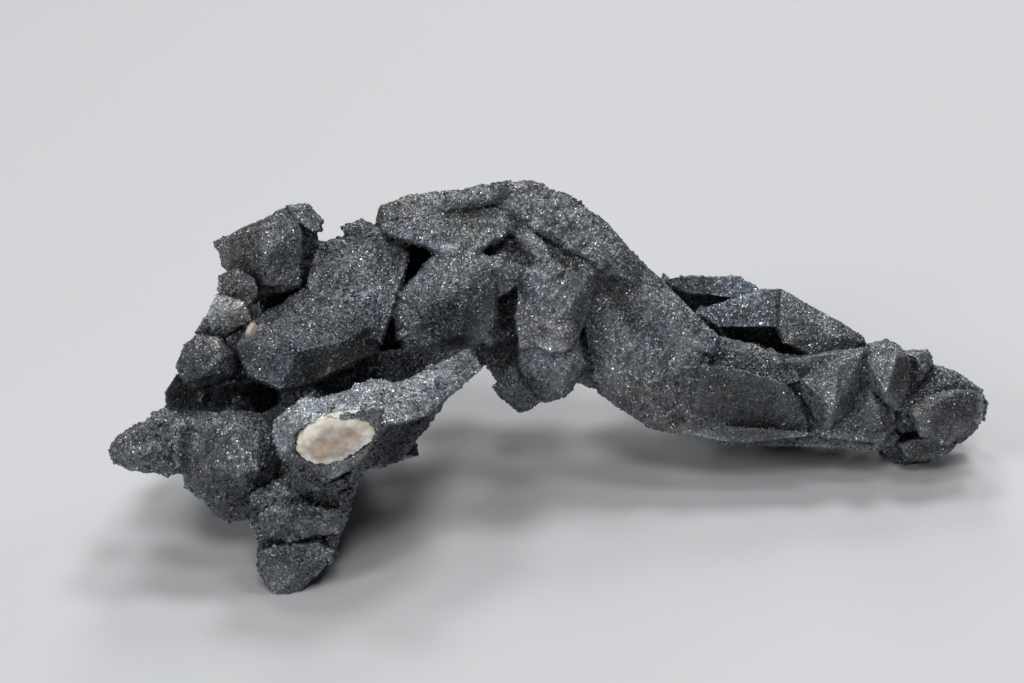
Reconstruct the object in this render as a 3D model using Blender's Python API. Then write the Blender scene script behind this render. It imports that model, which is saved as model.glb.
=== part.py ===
"""Hematite specimen: druse-coated crystals grown together in one bent cluster, with calcite at a broken face.

Lengths are in millimetres until MM turns them into metres. X runs along the specimen, Y to its back, Z up.
The cluster is built from two kinds of convex solid, slabs and crystals, joined into one. Small druse lumps
are then grown on it, pockets are cut for the calcite, and its three feet are worn flat where it stands.
"""

import math
import random
from collections import namedtuple

import bmesh
import bpy
from mathutils import Vector

MM = 0.001

# Driving dimensions, in millimetres.
BACK_DROP = 0.466  # how far a slab sinks for each millimetre towards its back
FACING = Vector((0.0, -1.0, BACK_DROP)).normalized()  # the side that the specimen is shown from
SLAB_RINGS = ((0.0, 0.95), (0.08, 1.0), (1.0, 0.8))  # share of a slab's thickness, size of its outline there
STRAY = 0.12  # how far a crystal's edges stray from its regular section, as a share of its half width
FLAT = math.radians(0.5)  # faces that meet at less than this are one face

# The pale calcite exposed on the broken end of the front blade: an egg-shaped inlay.
CORE_FACE = "ram_end"
CORE_MIDDLE = (-24.9, 27.7)  # its place on that face, as (x, z)
CORE_RADII = (6.0, 3.3)
CORE_TURN = math.radians(25)  # its narrow end points up to the right
CORE_NARROWING = 0.2  # how much slimmer than its middle the narrow end is, and how much fatter the other
CORE_CORNERS = 18
CORE_DEPTH = 2.4
CORE_DOME = 0.35  # how far its middle stands out of the face
CORE_RINGS = ((-CORE_DEPTH, 0.9), (0.0, 1.0), (CORE_DOME, 0.72))  # (height over the face, share of the radii)
POCKET_RINGS = ((-CORE_DEPTH, 0.9), (0.0, 1.0), (5.0, 1.1))
POCKET_GAP = 0.3  # clearance between calcite and hematite

# Druse lumps: small tilted crystals seeded along the cluster's edges.
LUMP_SEED = "coat"
LUMP_COUNT = 76
LUMP_EDGE_ANGLE = math.radians(25)  # they grow where two faces meet at more than this
LUMP_WIDTHS = (2.0, 4.0)
LUMP_RISE = 0.15  # how far a lump stands out, as a share of its width
LUMP_SINK = 0.5  # how deep its root is buried, as a share of its width
LUMP_TILT = 0.35  # how far it leans from the edge it grows on
LUMP_FLOOR = 4.0  # no lump grows lower than this
BARE_PLACES = (  # middle and radius of the places that stay smooth
    (Vector((-24, -46, 27)), 8.0),
    (Vector((37, -12, 16)), 7.0),
)

# Cross-sections: corners as (across, towards the front), each from -1 to 1.
HEX = ((1.0, 0.0), (0.5, 0.95), (-0.5, 1.0), (-1.0, 0.05), (-0.55, -0.95), (0.5, -1.0))
SLAB = ((1.0, 0.35), (0.8, 0.95), (-0.75, 1.0), (-1.0, 0.45), (-0.85, -0.85), (0.8, -0.95))

# Profiles: (share of the length, width, thickness) from root to tip.
BLOCK = ((0.0, 0.8, 0.8), (0.18, 1.0, 1.0), (0.8, 0.97, 1.0), (1.0, 0.72, 0.7))
BLADE = ((0.0, 0.6, 0.8), (0.25, 1.0, 1.0), (0.7, 0.8, 0.8), (1.0, 0.2, 0.3))
SPIRE = ((0.0, 1.0, 1.0), (0.55, 0.72, 0.75), (1.0, 0.16, 0.2))
STUB = ((0.0, 0.85, 0.9), (0.3, 1.0, 1.0), (1.0, 0.9, 0.8))
FINGER = ((0.0, 1.0, 1.0), (0.45, 0.95, 0.95), (0.8, 0.7, 0.75), (1.0, 0.35, 0.4))
LUMP = ((0.0, 1.0, 1.0), (1.0, 0.45, 0.4))

# A slab shows one broad face. Its outline is (x, z) on that face, which lies at the depth y = front in its
# middle and leans by so much y for each millimetre of x and of z. A peak, as (x, z, rise), stands out of it.
Slab = namedtuple("Slab", "name front thick lean outline peaks", defaults=((),))

# A crystal is a prism from its root to its tip. Its roll turns it about that line, in degrees.
Crystal = namedtuple("Crystal", "name root tip width thick roll section profile")

SLABS = (
    # Top.
    Slab(
        "crest", front=-5, thick=11, lean=(0, 1),
        outline=((-20.5, 46.5), (-18.5, 47), (-16.5, 48), (-11.5, 48), (-6, 49), (-1.5, 49.5), (0, 49),
                 (-1.5, 47.5), (-5, 47), (-11, 45.5), (-13.5, 45), (-21, 44.5)),
        peaks=((-9.5, 47.5, 1.2),),
    ),
    Slab(
        "brow", front=-9, thick=14, lean=(0.63, 2.1),
        outline=((-20.5, 46), (-17, 46), (-12.5, 45.5), (-5.5, 46), (-1, 45), (2, 43), (-2, 42), (-5, 41.5),
                 (-7.5, 41), (-11.5, 42.5), (-15.5, 44), (-19, 45)),
        peaks=((-8.5, 43.5, 0.8), (-2, 44, 0.6)),
    ),
    Slab(
        "ledge", front=-9, thick=10, lean=(0, 0.6),
        outline=((-26, 44.5), (-23, 45.5), (-20.5, 44.5), (-18, 43.5), (-20, 42), (-25, 42.5)),
    ),
    Slab(
        "slab_upper", front=-14.5, thick=12, lean=(0.45, 1.27),
        outline=((-29.5, 43.5), (-25.5, 43.5), (-20.5, 44), (-15.5, 42), (-15.5, 40), (-16.5, 37.5),
                 (-18.5, 35), (-19.5, 31.5), (-24, 34), (-31, 39), (-30.5, 41.5)),
        peaks=((-22.5, 41, 1), (-27.5, 40, 0.6)),
    ),
    Slab(
        "niche_wall", front=-5, thick=9, lean=(0, 0.7),
        outline=((-6.5, 40), (-2, 41), (1.5, 43), (7.5, 40.5), (15.5, 37.5), (15.5, 33.5), (9.5, 33.5),
                 (4.5, 34.5), (-2, 35.5), (-6, 36.5)),
    ),
    Slab(
        "niche_lump", front=-11.8, thick=9, lean=(0, 0.35),
        outline=((-6.5, 41), (-4, 41), (-1, 40), (2, 39.5), (1.5, 36.5), (-1, 35.5), (-2.5, 34.5), (-5, 36),
                 (-6, 38.5)),
        peaks=((-4.5, 39, 1.2), (-0.5, 38, 0.8)),
    ),
    # Middle, with the deep hole left of the pillar.
    Slab(
        "centre_gem", front=-15.5, thick=16, lean=(0.1, 0.45),
        outline=((-18.5, 34), (-16.5, 37.5), (-14, 39.5), (-11.5, 42), (-7.5, 42.5), (-4.5, 40.5),
                 (-2.5, 37), (-2, 32.5), (-3.5, 29.5), (-6.5, 28.5), (-11, 28.5), (-16, 28), (-17.5, 30.5)),
        peaks=((-11, 35, 3), (-6.5, 37, 3.2), (-7.5, 30.5, 3.6)),
    ),
    Slab(
        "pillar_top", front=-12, thick=12, lean=(0, 0.3),
        outline=((0.5, 39), (2.5, 39), (5.5, 37), (8, 37.5), (12, 38), (13.5, 36.5), (12, 33.5), (10.5, 31),
                 (10, 27.5), (5, 26.5), (1, 26.5), (0.5, 31), (0.5, 34)),
        peaks=((3.5, 34.5, 1), (9, 34, 1.4), (5, 28.5, 1.6)),
    ),
    Slab(
        "pillar_knob", front=-14.8, thick=8, lean=(0, 0.55),
        outline=((2.5, 32), (6, 33), (9.5, 32), (10.5, 30), (9, 27.5), (6, 27), (3.5, 28)),
        peaks=((5.5, 30.5, 0.8), (8, 29, 1)),
    ),
    Slab(
        "pillar_low", front=-13, thick=12, lean=(0, 0.05),
        outline=((1, 28), (3.5, 30), (9, 29.5), (10.5, 27), (11.5, 23.5), (10, 20), (9, 18), (5, 17),
                 (3, 19), (1, 23)),
        peaks=((4.5, 23.5, 1.2), (8.5, 23, 1.4), (7, 20, 1.4)),
    ),
    Slab(
        "tooth", front=-10.5, thick=8, lean=(0, 0),
        outline=((-1, 21.5), (1.5, 23.5), (4.5, 20), (5, 16), (2.5, 14), (1, 14), (-2, 16.5), (-3, 18)),
        peaks=((1, 18.5, 1.4),),
    ),
    Slab(
        "hole_wall", front=3, thick=9, lean=(0, 0),
        outline=((-6.5, 30), (2, 30), (2, 12.5), (-1.5, 12), (-3.5, 14.5), (-5.5, 18.5)),
    ),
    Slab(
        "crevice_wall", front=-4.5, thick=9, lean=(0, -0.2),
        outline=((9, 28.5), (13.5, 29), (15.5, 14), (12.5, 14.5), (10.5, 15.5), (9.5, 23.5)),
    ),
    # Arm, from the top down to the right.
    Slab(
        "slope_high", front=-4, thick=11, lean=(0.25, 0.85),
        outline=((-2, 49), (3, 49), (6.5, 47.5), (12, 44.5), (14.5, 43), (17.5, 40), (20, 37.5),
                 (19.5, 34.5), (15, 36.5), (11, 38.5), (7, 40.5), (2, 44), (-2, 46)),
        peaks=((3, 46.5, 0.8), (9.5, 42.5, 0.8), (15.5, 39, 1)),
    ),
    Slab(
        "slope_low", front=-5.5, thick=10, lean=(0.2, 0.8),
        outline=((13.5, 39), (17.5, 38.5), (20.5, 36), (23.5, 33.5), (32.5, 25.5), (31.5, 23.5),
                 (27.5, 24.5), (21.5, 28), (14.5, 33)),
        peaks=((21.5, 32, 1), (27.5, 26.5, 0.8)),
    ),
    Slab(
        "arm_mid", front=-9.5, thick=18, lean=(0, 0.35),
        outline=((11.5, 34), (16.5, 35), (21.5, 30.5), (28, 25.5), (31.5, 22.5), (29.5, 18), (27, 13.5),
                 (23.5, 12), (20.5, 13), (16.5, 16), (13.5, 17.5), (13, 20.5), (12.5, 25), (10.5, 28.5)),
        peaks=((14.5, 30.5, 1.2), (18.5, 26.5, 1.6), (16, 21, 1.6), (23.5, 21, 1.2), (21, 15.5, 1.2)),
    ),
    Slab(
        "arm_shoulder", front=-7, thick=14, lean=(0, 0.8),
        outline=((27, 24), (33, 24), (38.5, 23), (41, 21.5), (43, 20.5), (45, 20), (45.5, 18.5), (42, 17.5),
                 (36.5, 19), (29.5, 20)),
        peaks=((36, 22, 0.8),),
    ),
    Slab(
        "arm_face", front=-12, thick=10, lean=(0.1, 0),
        outline=((29, 23.5), (36, 22), (42.5, 19.5), (45, 16.5), (47, 11.5), (44.5, 10.5), (36, 10),
                 (33, 11), (27, 13.5)),
    ),
    Slab(
        "rim", front=-13, thick=8, lean=(0, 0),
        outline=((20, 14), (26, 13.5), (33, 11.5), (44.5, 11.5), (48, 11.5), (48, 11), (36.5, 10),
                 (33.5, 10), (30, 11), (23, 12), (20.5, 12.5)),
    ),
    Slab(
        "keel", front=-9, thick=8, lean=(0, 0),
        outline=((30.5, 9), (44, 10), (53.5, 9.5), (59, 8), (59, 6.5), (53.5, 7), (45.5, 8.5), (43.5, 7),
                 (40.5, 7.5), (34, 8)),
    ),
    Slab(
        "arm_tip", front=-8.5, thick=16, lean=(0, 0.25),
        outline=((40.5, 20), (42.5, 21.5), (47.5, 22), (52, 23), (56, 23.5), (59, 19.5), (61, 11.5),
                 (59, 8), (53.5, 9), (45.5, 9.5), (42, 11.5)),
    ),
    # Hollow shells behind the arm.
    Slab(
        "shell_back", front=9, thick=7, lean=(0, 0.3),
        outline=((23.5, 28), (24.5, 28), (29, 28.5), (36.5, 28.5), (39.5, 27), (41.5, 25), (37, 25),
                 (34, 26), (28, 26)),
    ),
    Slab(
        "shell_back_wall", front=17, thick=6, lean=(0, 0),
        outline=((24, 24), (38, 24), (43, 13), (35, 12.5), (28, 19)),
    ),
    Slab(
        "shell_plate", front=5, thick=8, lean=(0, 0.45),
        outline=((30, 24), (31.5, 25), (37, 26.5), (40, 27.5), (43.5, 27.5), (45.5, 26.5), (45.5, 22),
                 (41.5, 22), (36, 22), (33, 22)),
    ),
    Slab(
        "shell_front", front=2.5, thick=12, lean=(0.1, 0.6),
        outline=((43, 28), (46, 26.5), (52, 23.5), (56.5, 21), (57, 20), (54, 19), (48.5, 18.5),
                 (45.5, 20.5), (43.5, 20.5), (42.5, 22.5)),
        peaks=((46, 25, 0.8), (51.5, 21, 1.2)),
    ),
    Slab(
        "shell_front_wall", front=14, thick=8, lean=(0, 0),
        outline=((33.5, 18.5), (46, 18), (52.5, 14.5), (52.5, 10), (41.5, 10), (36.5, 13)),
    ),
    # Right-hand end.
    Slab(
        "fang", front=-9.5, thick=9, lean=(0, 0.2),
        outline=((45, 19), (52, 23), (55, 23.5), (54.5, 18.5), (53.5, 14), (50, 11), (48.5, 11),
                 (45.5, 16)),
        peaks=((51, 21.5, 1.6), (50, 14.5, 3.2)),
    ),
    Slab(
        "prism", front=-8, thick=10, lean=(0.1, 0.4),
        outline=((55.5, 22), (56, 24), (59, 24.5), (60.5, 24), (62.5, 21.5), (62.5, 17), (61, 14),
                 (58.5, 15), (56, 17.5)),
        peaks=((60, 23, 2.6), (58, 16.5, 3.6)),
    ),
    Slab(
        "web", front=-9, thick=8, lean=(0, 0),
        outline=((56, 17.5), (59, 14.5), (61, 11.5), (60, 9.5), (56.5, 8.5), (53, 9), (53.5, 12)),
        peaks=((56.5, 16, 1.6), (58.5, 10.5, 1.8)),
    ),
    Slab(
        "joint_bit", front=-7, thick=7, lean=(0.2, 0.2),
        outline=((59, 14), (61.5, 12.5), (63, 11.5), (62.5, 8.5), (60.5, 9.5), (58, 11.5)),
        peaks=((60.5, 11, 1.4),),
    ),
    Slab(
        "joint_chip", front=-8, thick=6, lean=(0, 0.2),
        outline=((57, 9.5), (60, 10.5), (61.5, 8), (59.5, 6.5), (57.5, 7.5)),
        peaks=((59.5, 8.5, 1),),
    ),
    Slab(
        "step", front=-4.5, thick=9, lean=(0.1, 0.3),
        outline=((61.5, 21.5), (63, 21.5), (66, 21.5), (67, 19), (65, 16.5), (63.5, 14.5), (62.5, 17.5)),
        peaks=((63.5, 20.5, 1.4), (65, 18, 2.2)),
    ),
    Slab(
        "end_body", front=-5, thick=10, lean=(0, 0),
        outline=((58, 17), (65.5, 16.5), (68, 6.5), (67, 2.5), (61.5, 3.5), (58.5, 8.5)),
    ),
    Slab(
        "end_plate", front=-9.5, thick=12, lean=(0.2, 0.15),
        outline=((62.5, 14.5), (65.5, 16.5), (70, 17), (73.5, 16.5), (74.5, 15), (74.5, 11.5), (72, 10),
                 (69, 8), (64.5, 10)),
        peaks=((65, 14.5, 1.6), (70.5, 11.5, 1.2)),
    ),
    Slab(
        "end_cap", front=-4.5, thick=11, lean=(0.1, 0.8),
        outline=((65.5, 16), (67, 18.5), (68.5, 18), (70.5, 17.5), (72.5, 16), (75, 15), (75, 13.5),
                 (71, 14), (67, 14.5)),
        peaks=((69.5, 16, 1),),
    ),
    Slab(
        "end_rim", front=-4, thick=7, lean=(0.5, 0),
        outline=((73, 16), (75, 14), (76.5, 11.5), (76, 9), (75, 7.5), (72, 5.5), (70.5, 6), (73, 10)),
    ),
    Slab(
        "end_heel", front=-7, thick=10, lean=(0, 0),
        outline=((64, 7.5), (69.5, 7), (71, 6.5), (69.5, 4.5), (66, 3.5), (63, 3.5), (61.5, 6.5)),
    ),
    Slab(
        "end_foot", front=-3, thick=9, lean=(0, -0.3),
        outline=((59.5, 4), (61, 5.5), (65.5, 6.5), (68, 3.5), (67, 1), (63.5, 0), (61.5, 1)),
    ),
    # Upper left.
    Slab(
        "gem_main", front=-24, thick=20, lean=(0.31, 1.02),
        outline=((-41, 33), (-38.5, 36), (-34.5, 36.5), (-31.5, 38.5), (-29, 39), (-24, 37), (-19, 34),
                 (-20, 30.5), (-25, 29.5), (-28.5, 28), (-30.5, 27.5), (-34.5, 27.5), (-39, 29.5)),
        peaks=((-38, 33, 2.4), (-31.5, 31.5, 3.4), (-25, 32, 2.6), (-30.5, 35.5, 1.6)),
    ),
    Slab(
        "horn", front=-18, thick=12, lean=(-0.1, 0.25),
        outline=((-44.5, 45.5), (-40.5, 47.5), (-36.5, 49), (-33.5, 51), (-31.5, 50), (-31, 46.5),
                 (-31.5, 43.5), (-31.5, 39.5), (-34, 38.5), (-37.5, 37.5), (-40, 41), (-43.5, 42)),
        peaks=((-37, 47, 1.6), (-36.5, 43, 2.8), (-37, 39.5, 2)),
    ),
    Slab(
        "horn_hood", front=-17, thick=8, lean=(0.3, 0.4),
        outline=((-33.5, 51.5), (-32, 51.5), (-30.5, 51.5), (-29.5, 50.5), (-28.5, 49), (-28.5, 47.5),
                 (-29.5, 47.5), (-30.5, 48.5), (-32.5, 50)),
        peaks=((-30.5, 50.5, 0.8),),
    ),
    Slab(
        "horn_side", front=-13.5, thick=9, lean=(0.4, 0.1),
        outline=((-32.5, 48.5), (-30, 47.5), (-30, 45.5), (-29.5, 43.5), (-30.5, 40.5), (-31.5, 37),
                 (-33, 37)),
        peaks=((-31.5, 41.5, 1.2),),
    ),
    Slab(
        "skirt_top", front=-22.5, thick=10, lean=(0, 0),
        outline=((-43.5, 42.5), (-40.5, 43.5), (-38, 42), (-37.5, 39.5), (-38.5, 38), (-42, 38.5),
                 (-43.5, 40)),
    ),
    Slab(
        "skirt_low", front=-24, thick=9, lean=(0.1, -0.2),
        outline=((-43.5, 40.5), (-41.5, 40), (-39.5, 39), (-38.5, 36), (-40.5, 34.5), (-43, 32.5),
                 (-44.5, 33), (-45, 36), (-44.5, 38.5)),
        peaks=((-42, 37, 1),),
    ),
    Slab(
        "skirt_step", front=-21, thick=10, lean=(0, 0),
        outline=((-45.5, 35.5), (-44.5, 34.5), (-43.5, 31.5), (-47, 31.5), (-47.5, 32.5)),
    ),
    Slab(
        "cheek", front=-26, thick=14, lean=(0, 0.1),
        outline=((-49, 32), (-47, 34), (-43.5, 34), (-41, 31.5), (-41, 28.5), (-44, 27), (-47, 26),
                 (-49, 26.5), (-50, 29.5)),
        peaks=((-46.5, 32, 1.6), (-43, 30.5, 1.6), (-45.5, 28, 1.6)),
    ),
    Slab(
        "cheek_low", front=-21, thick=12, lean=(0.3, -0.3),
        outline=((-50.5, 26.5), (-48, 24), (-46.5, 22), (-48, 19.5), (-51, 18), (-52.5, 19.5), (-52.5, 23)),
    ),
    Slab(
        "cavity_wall", front=-9, thick=12, lean=(0, 0),
        outline=((-53.5, 18.5), (-33, 18.5), (-17.5, 24.5), (-5, 25), (-4, 21.5), (-11.5, 16.5),
                 (-20.5, 15.5), (-33.5, 13), (-52.5, 11.5)),
    ),
    # Lower left.
    Slab(
        "finger", front=-36, thick=12, lean=(-0.2, 0.4),
        outline=((-59, 20.5), (-58, 22), (-54, 24.5), (-51, 26.5), (-47, 25.5), (-47.5, 22), (-48.5, 18),
                 (-53, 17.5), (-56, 17.5), (-58.5, 18.5)),
        peaks=((-56.5, 20.5, 1.5), (-50, 22, 3)),
    ),
    Slab(
        "jaw", front=-36, thick=15, lean=(0, 0.3),
        outline=((-48, 25), (-41, 25.5), (-36.5, 25.5), (-34.5, 23), (-34, 20), (-35.5, 16), (-38.5, 13.5),
                 (-43.5, 12.5), (-46.5, 13), (-48.5, 15.5), (-49, 19)),
        peaks=((-45, 22, 1.8), (-37.5, 22, 2.4), (-43.5, 16, 2), (-38.5, 16.5, 2.4)),
    ),
    Slab(
        "jaw_low", front=-33, thick=10, lean=(0, -0.5),
        outline=((-46.5, 12.5), (-38.5, 14), (-38.5, 10.5), (-40, 6), (-43, 5.5), (-45, 7.5)),
    ),
    Slab(
        "leg", front=-39.5, thick=10, lean=(0.3, 0),
        outline=((-38, 15.5), (-36, 16.5), (-33, 18), (-26, 17.5), (-22, 17.5), (-24, 12.5), (-25, 8),
                 (-26.5, 4.5), (-31.5, 3.5), (-37, 7.5), (-38, 11.5)),
        peaks=((-33, 15, 2.6), (-31, 7, 2)),
    ),
    Slab(
        "leg_ridge", front=-42.5, thick=6, lean=(0.2, -0.1),
        outline=((-36.5, 14.5), (-33, 15.5), (-28.5, 14.5), (-25, 13), (-25.5, 10), (-30.5, 9), (-34.5, 10),
                 (-37, 11.5)),
        peaks=((-32, 12.5, 1.2), (-28, 12, 0.9)),
    ),
    Slab(
        "leg_foot", front=-42.5, thick=6, lean=(0.15, -0.1),
        outline=((-37, 8), (-33, 8.5), (-28.5, 8.5), (-25.5, 7), (-28, 3.5), (-31.5, -0.5), (-33.5, -1),
                 (-35.5, 0.5), (-37, 3.5), (-37.5, 6)),
        peaks=((-32, 5, 1.5),),
    ),
    # Broken blade at the front.
    Slab(
        "ram_end", front=-46, thick=12, lean=(-0.1, -0.2),
        outline=((-34, 29.5), (-30, 29.5), (-25.5, 32), (-18, 33.5), (-19, 28), (-21.5, 23.5), (-25, 21),
                 (-28.5, 18.5), (-30.5, 19), (-32, 22.5), (-33, 25.5)),
    ),
    Slab(
        "ram_top", front=-39.5, thick=8, lean=(0.53, 2.9),
        outline=((-34, 29.5), (-33, 30), (-30, 30.5), (-27, 30), (-20.5, 30.5), (-16.5, 30), (-12.5, 30),
                 (-11.5, 29), (-13, 27.5), (-19, 27.5), (-26, 28.5), (-30.5, 28.5)),
        peaks=((-28.5, 29.5, 0.8), (-20, 29.5, 1), (-16, 29, 0.8)),
    ),
    Slab(
        "ram_knob", front=-42.5, thick=7, lean=(0.53, 2.9),
        outline=((-32.5, 29.5), (-31.5, 30.5), (-30, 31), (-27, 30.5), (-25, 29.5), (-26, 29), (-30, 29)),
        peaks=((-30, 30, 0.8), (-27.5, 30, 0.8)),
    ),
    Slab(
        "ram_knob_far", front=-36.5, thick=6, lean=(0.53, 2.9),
        outline=((-23.5, 30.5), (-23, 31), (-21, 31), (-19, 31), (-17, 30.5), (-16, 30), (-18, 29.5),
                 (-21, 29.5), (-23, 29.5)),
        peaks=((-20, 30.5, 0.9),),
    ),
    Slab(
        "ram_mid", front=-34, thick=9, lean=(0.53, 2.9),
        outline=((-17, 30), (-12.5, 30.5), (-10, 31), (-8.5, 29), (-12, 27.5), (-15.5, 27.5)),
        peaks=((-12, 29.5, 1.2),),
    ),
    Slab(
        "ram_blade", front=-30, thick=8, lean=(0.53, 2.9),
        outline=((-13.5, 30), (-10.5, 31), (-7.5, 31.5), (-6, 31.5), (-4.5, 30), (-6, 29.5), (-9.5, 28.5),
                 (-12, 28)),
        peaks=((-8, 30.5, 0.8),),
    ),
    Slab(
        "ram_flank", front=-36, thick=10, lean=(0.9, -0.1),
        outline=((-19.5, 25.5), (-12.5, 24.5), (-9.5, 26.5), (-10.5, 25), (-13, 22.5), (-16.5, 18.5),
                 (-20.5, 19.5), (-23.5, 19.5), (-22, 23)),
    ),
)

CRYSTALS = (
    # Small crystals at the front.
    Crystal("niche_finger", (1, -3.5, 41.6), (7.6, -11, 37.2), 3.6, 4, 20, HEX, STUB),
    Crystal("niche_bead_left", (-1, -8, 39.5), (-1.2, -12, 41), 1.6, 1.6, 0, HEX, STUB),
    Crystal("niche_bead", (11.5, -8, 36), (11.3, -12, 38), 1.8, 1.8, 10, HEX, STUB),
    Crystal("niche_bead_right", (13.5, -6, 37), (13.6, -9.6, 38.6), 2.0, 1.8, 30, HEX, STUB),
    Crystal("fin", (40, -3, 21), (41.5, -5.5, 16.5), 3, 5, -15, SLAB, BLADE),
    Crystal("sliver", (41.5, -3.5, 16.5), (49, -2.5, 19.5), 2.5, 5, -30, SLAB, BLADE),
    Crystal("keel_knob", (44, -8, 9), (44, -9, 7.2), 1.8, 1.8, 0, HEX, STUB),
    # Middle, behind the slabs.
    Crystal("core_left", (-46, -3, 20), (-18, 0, 23), 16, 16, 0, SLAB, BLOCK),
    Crystal("core_left_high", (-40, -6, 30.5), (-20, 0, 32), 13, 14, 10, SLAB, BLOCK),
    Crystal("core_neck", (-28, -11, 13.5), (-33, -3, 22.5), 14, 20, 0, SLAB, BLOCK),
    Crystal("core_jaw", (-30, -18.5, 15.5), (-40, -27, 12.5), 11, 12, 0, SLAB, BLOCK),
    Crystal("core_ram", (-21, -13, 14.5), (-26.5, -36, 19), 9, 11, 0, SLAB, BLOCK),
    Crystal("core_leg", (-28, -17, 14), (-33, -34, 11), 12, 13, 0, SLAB, BLOCK),
    Crystal("core_centre", (-20, 6, 32), (8, 8, 29), 18, 19, 0, SLAB, BLOCK),
    Crystal("core_low", (-22, 0, 23.5), (1, 2, 24.5), 11, 15, 0, SLAB, BLOCK),
    Crystal("core_crest", (-18, 4, 39.5), (10, 6, 39), 9, 16, 0, SLAB, BLOCK),
    Crystal("core_root", (6, 4, 35), (18, 3, 21), 15, 16, 0, SLAB, BLOCK),
    Crystal("core_slope", (2, 4, 35), (30, 3, 18), 11, 13, 0, SLAB, BLOCK),
    Crystal("core_arm", (24, 1, 15.5), (62, 1, 11), 9, 14, 0, SLAB, BLOCK),
    Crystal("core_shell", (30, 9, 13), (57, 6, 10), 8, 12, 0, SLAB, BLOCK),
    Crystal("core_end", (56, 0, 11), (72, -1, 10.5), 9, 12, 0, SLAB, BLOCK),
    # Back.
    Crystal("rear_foot", (-25, -4, 20), (-29, 5, -3), 13, 12, 0, HEX, SPIRE),
    Crystal("back_peak", (0, 6, 36), (-4, 19, 31), 12, 13, 20, HEX, BLOCK),
    Crystal("back_crest", (-12, 6, 35), (-18, 20, 27), 12, 13, -20, SLAB, BLOCK),
    Crystal("back_slope", (10, 5, 33), (13, 17, 27), 12, 11, 15, HEX, STUB),
    Crystal("back_slope_low", (20, 6, 23), (24, 15, 18), 9, 10, -25, HEX, BLOCK),
    Crystal("back_arm", (34, 6, 13), (40, 17, 9.5), 9, 11, 20, SLAB, BLOCK),
    Crystal("back_arm_end", (50, 4, 11), (56, 14, 9), 8, 12, -15, HEX, BLOCK),
    Crystal("back_end", (64, 0, 9), (70, 9, 8), 8, 9, 10, HEX, STUB),
    Crystal("back_left_high", (-26, -4, 33), (-36, 5, 30), 11, 12, 30, SLAB, BLOCK),
    Crystal("back_left", (-32, -6, 26), (-43, 7, 24), 13, 15, -10, HEX, BLOCK),
    Crystal("back_left_low", (-38, -14, 16), (-49, -4, 11), 11, 13, 20, HEX, FINGER),
    Crystal("back_ridge_left", (-18, 4, 38.5), (-13, 14, 33.5), 10, 10, 20, HEX, BLOCK),
    Crystal("back_ridge", (-7, 6, 41), (-3, 16, 35), 9, 10, -25, SLAB, BLOCK),
    Crystal("back_ridge_right", (4, 4, 41), (9, 13, 35), 10, 9, 30, HEX, BLOCK),
    Crystal("back_shoulder", (13, 4, 30), (21, 11, 23), 10, 9, -15, SLAB, BLOCK),
    Crystal("back_horn", (-35, -10, 39), (-31, -2, 35), 8, 8, 25, HEX, STUB),
    Crystal("back_root", (2, 4, 26), (4, 16, 20), 14, 12, 0, HEX, BLOCK),
    Crystal("back_low", (-14, 2, 26), (-12, 15, 21), 13, 12, 25, HEX, FINGER),
)

CALCITE_GRAIN = Crystal("calcite_grain", (-38.2, -24.0, 34.9), (-38.9, -26.2, 34.2), 1.6, 2.0, 20, HEX, BLOCK)

MATERIALS = {  # node: (base colour, roughness, metallic)
    "hematite_cluster": ((0.085, 0.095, 0.11, 1.0), 0.42, 0.45),
    "calcite_core": ((0.72, 0.64, 0.53, 1.0), 0.6, 0.0),
    "calcite_grain": ((0.70, 0.66, 0.55, 1.0), 0.55, 0.0),
}


def clear_scene():
    for obj in list(bpy.data.objects):
        bpy.data.objects.remove(obj)


def outer_skin(obj):
    """Keeps the outer skin alone, which fills every hollow that is closed off inside."""
    shape = bmesh.new()
    shape.from_mesh(obj.data)
    waiting = set(shape.faces)
    skins = []
    while waiting:
        skin, edge = set(), [waiting.pop()]
        while edge:
            face = edge.pop()
            skin.add(face)
            near = {other for side in face.edges for other in side.link_faces} & waiting
            waiting -= near
            edge.extend(near)
        skins.append(skin)
    outer = max(skins, key=lambda skin: sum(face.calc_area() for face in skin))
    inner = [face for face in shape.faces if face not in outer]
    bmesh.ops.delete(shape, geom=inner, context="FACES")
    shape.to_mesh(obj.data)
    shape.free()


def outline_middle(slab):
    count = len(slab.outline)
    return sum(x for x, _ in slab.outline) / count, sum(z for _, z in slab.outline) / count


def face_y(slab, x, z):
    """The depth of the slab's face at x and z."""
    middle_x, middle_z = outline_middle(slab)
    return slab.front + slab.lean[0] * (x - middle_x) + slab.lean[1] * (z - middle_z)


def slab_corners(slab):
    """The corners of a slab's bevelled front, its widest ring and its smaller back, and its peaks."""
    middle_x, middle_z = outline_middle(slab)
    for depth, spread in SLAB_RINGS:
        back = depth * slab.thick
        for x, z in slab.outline:
            ring_x = middle_x + (x - middle_x) * spread
            ring_z = middle_z + (z - middle_z) * spread
            yield Vector((ring_x, face_y(slab, ring_x, ring_z) + back, ring_z - BACK_DROP * back))
    for x, z, rise in slab.peaks:
        yield Vector((x, face_y(slab, x, z) - rise, z + BACK_DROP * rise))


def ring_axes(along, roll):
    """Unit vectors across and through a crystal, turned by its roll about its own axis."""
    through = (FACING - FACING.dot(along) * along).normalized()
    across = through.cross(along)
    turn = math.radians(roll)
    turned_across = across * math.cos(turn) + through * math.sin(turn)
    turned_through = through * math.cos(turn) - across * math.sin(turn)
    return turned_across, turned_through


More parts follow.
